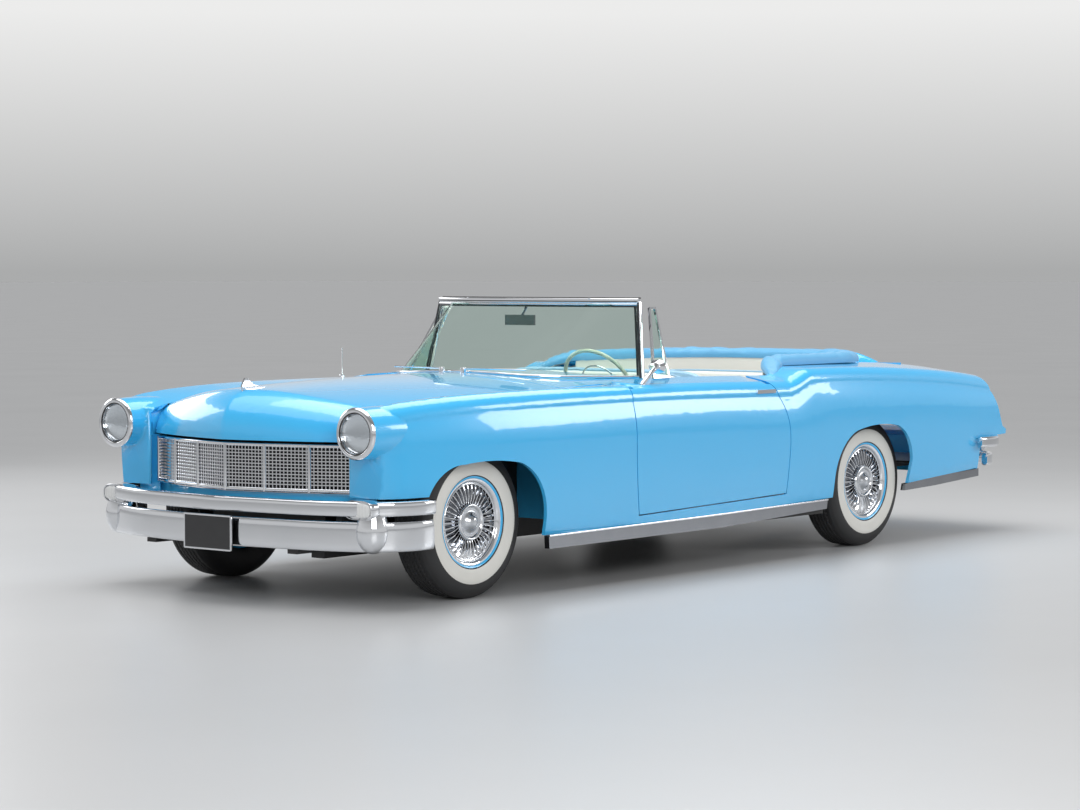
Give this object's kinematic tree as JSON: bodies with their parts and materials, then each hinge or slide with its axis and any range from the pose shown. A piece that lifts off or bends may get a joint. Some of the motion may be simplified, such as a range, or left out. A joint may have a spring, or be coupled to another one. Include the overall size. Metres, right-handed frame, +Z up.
{
  "type": "convertible car, two-door, 1950s style",
  "caption": "Long two-door 1950s luxury convertible in sky blue with the top folded down, egg-crate chrome grille and wide whitewall tyres.",
  "frame": {"origin": "on the ground under the middle of the car's overall length and width", "axes": "+X forward, towards the grille; +Y to the car's left, the driver's side; +Z up"},
  "size_m": [5.5469, 1.9664, 1.3478],
  "materials": {
    "body_paint": "gloss",
    "bright_chrome": "polished",
    "tinted_glass": "clear",
    "clear_lens": "clear",
    "red_lens": "gloss",
    "black_steel": "satin",
    "cast_block": "rough",
    "black_plate": "satin",
    "cream_leather": "satin",
    "blue_leather": "satin",
    "blue_cloth": "matte",
    "tyre_rubber": "matte",
    "wheel_metal": "polished",
    "exhaust_steel": "brushed",
    "cream_plastic": "gloss",
    "cream_paint": "gloss"
  },
  "bodies": {
    "body": {"fender_left": "body_paint", "fender_right": "body_paint", "windscreen_glass": "tinted_glass", "windscreen_frame": "bright_chrome", "cowl": "body_paint", "dashboard": "body_paint", "quarter_left": "body_paint", "quarter_right": "body_paint", "rear_deck": "body_paint", "tail_panel": "body_paint", "frame_rails": "black_steel", "floor_pan": "black_steel", "sill_trims": "bright_chrome", "front_bumper": "bright_chrome", "parking_lamps": "clear_lens", "plate_front": "black_plate", "grille": "bright_chrome", "headlamp_rings": "bright_chrome", "headlamps": "clear_lens", "rear_bumper": "bright_chrome", "tail_lamps": "red_lens", "engine": "cast_block", "radiator": "black_steel", "front_seat": "cream_leather", "rear_seat": "cream_leather", "side_trim": "blue_leather", "top_boot": "blue_cloth", "front_suspension": "black_steel", "rear_axle": "black_steel", "exhaust": "exhaust_steel", "fuel_tank": "black_steel", "steering_column": "cream_paint", "inside_mirror": "bright_chrome", "wipers": "bright_chrome"},
    "hood": {"hood": "body_paint", "hood_ornament": "bright_chrome"},
    "deck_lid": {"deck_lid": "body_paint"},
    "door_left": {"door_left": "body_paint", "door_brightwork_left": "bright_chrome", "vent_glass_left": "tinted_glass"},
    "door_right": {"door_right": "body_paint", "door_brightwork_right": "bright_chrome", "vent_glass_right": "tinted_glass"},
    "knuckle_left": {"knuckle_left": "cast_block"},
    "knuckle_right": {"knuckle_right": "cast_block"},
    "wheel_front_left": {"tyre_front_left": "tyre_rubber", "wheel_front_left": "wheel_metal"},
    "wheel_front_right": {"tyre_front_right": "tyre_rubber", "wheel_front_right": "wheel_metal"},
    "wheel_rear_left": {"tyre_rear_left": "tyre_rubber", "wheel_rear_left": "wheel_metal"},
    "wheel_rear_right": {"tyre_rear_right": "tyre_rubber", "wheel_rear_right": "wheel_metal"},
    "steering_wheel": {"steering_wheel": "cream_plastic"}
  },
  "joints": [
    {"name": "hood_hinge", "type": "hinge", "parent": "body", "child": "hood", "pos_m": [1.1915, 0, 0.992], "axis": [0, -1, 0], "range_deg": [0, 55]},
    {"name": "deck_lid_hinge", "type": "hinge", "parent": "body", "child": "deck_lid", "pos_m": [-1.8765, 0, 0.985], "axis": [0, 1, 0], "range_deg": [0, 65]},
    {"name": "door_left_hinge", "type": "hinge", "parent": "body", "child": "door_left", "pos_m": [0.8695, 0.982, 0.6], "axis": [0, 0, -1], "range_deg": [0, 65]},
    {"name": "door_right_hinge", "type": "hinge", "parent": "body", "child": "door_right", "pos_m": [0.8695, -0.982, 0.6], "axis": [0, 0, 1], "range_deg": [0, 65]},
    {"name": "steer_left", "type": "hinge", "parent": "body", "child": "knuckle_left", "pos_m": [1.9235, 0.69, 0.348], "axis": [0, 0, 1], "range_deg": [-30, 30]},
    {"name": "steer_right", "type": "hinge", "parent": "body", "child": "knuckle_right", "pos_m": [1.9235, -0.69, 0.348], "axis": [0, 0, 1], "range_deg": [-30, 30]},
    {"name": "steering_wheel_spin", "type": "hinge", "parent": "body", "child": "steering_wheel", "pos_m": [0.4235, 0.38, 0.905], "axis": [-0.866, 0, 0.5], "range_deg": [-600, 600]},
    {"name": "wheel_front_left_spin", "type": "hinge", "parent": "knuckle_left", "child": "wheel_front_left", "pos_m": [1.9235, 0.743, 0.348], "axis": [0, 1, 0], "continuous": true},
    {"name": "wheel_front_right_spin", "type": "hinge", "parent": "knuckle_right", "child": "wheel_front_right", "pos_m": [1.9235, -0.743, 0.348], "axis": [0, 1, 0], "continuous": true},
    {"name": "wheel_rear_left_spin", "type": "hinge", "parent": "body", "child": "wheel_rear_left", "pos_m": [-1.2765, 0.762, 0.348], "axis": [0, 1, 0], "continuous": true},
    {"name": "wheel_rear_right_spin", "type": "hinge", "parent": "body", "child": "wheel_rear_right", "pos_m": [-1.2765, -0.762, 0.348], "axis": [0, 1, 0], "continuous": true}
  ],
  "couplings": [
    {"joint": "steer_right", "follows": "steer_left", "ratio": 1},
    {"joint": "steering_wheel_spin", "follows": "steer_left", "ratio": -20}
  ]
}
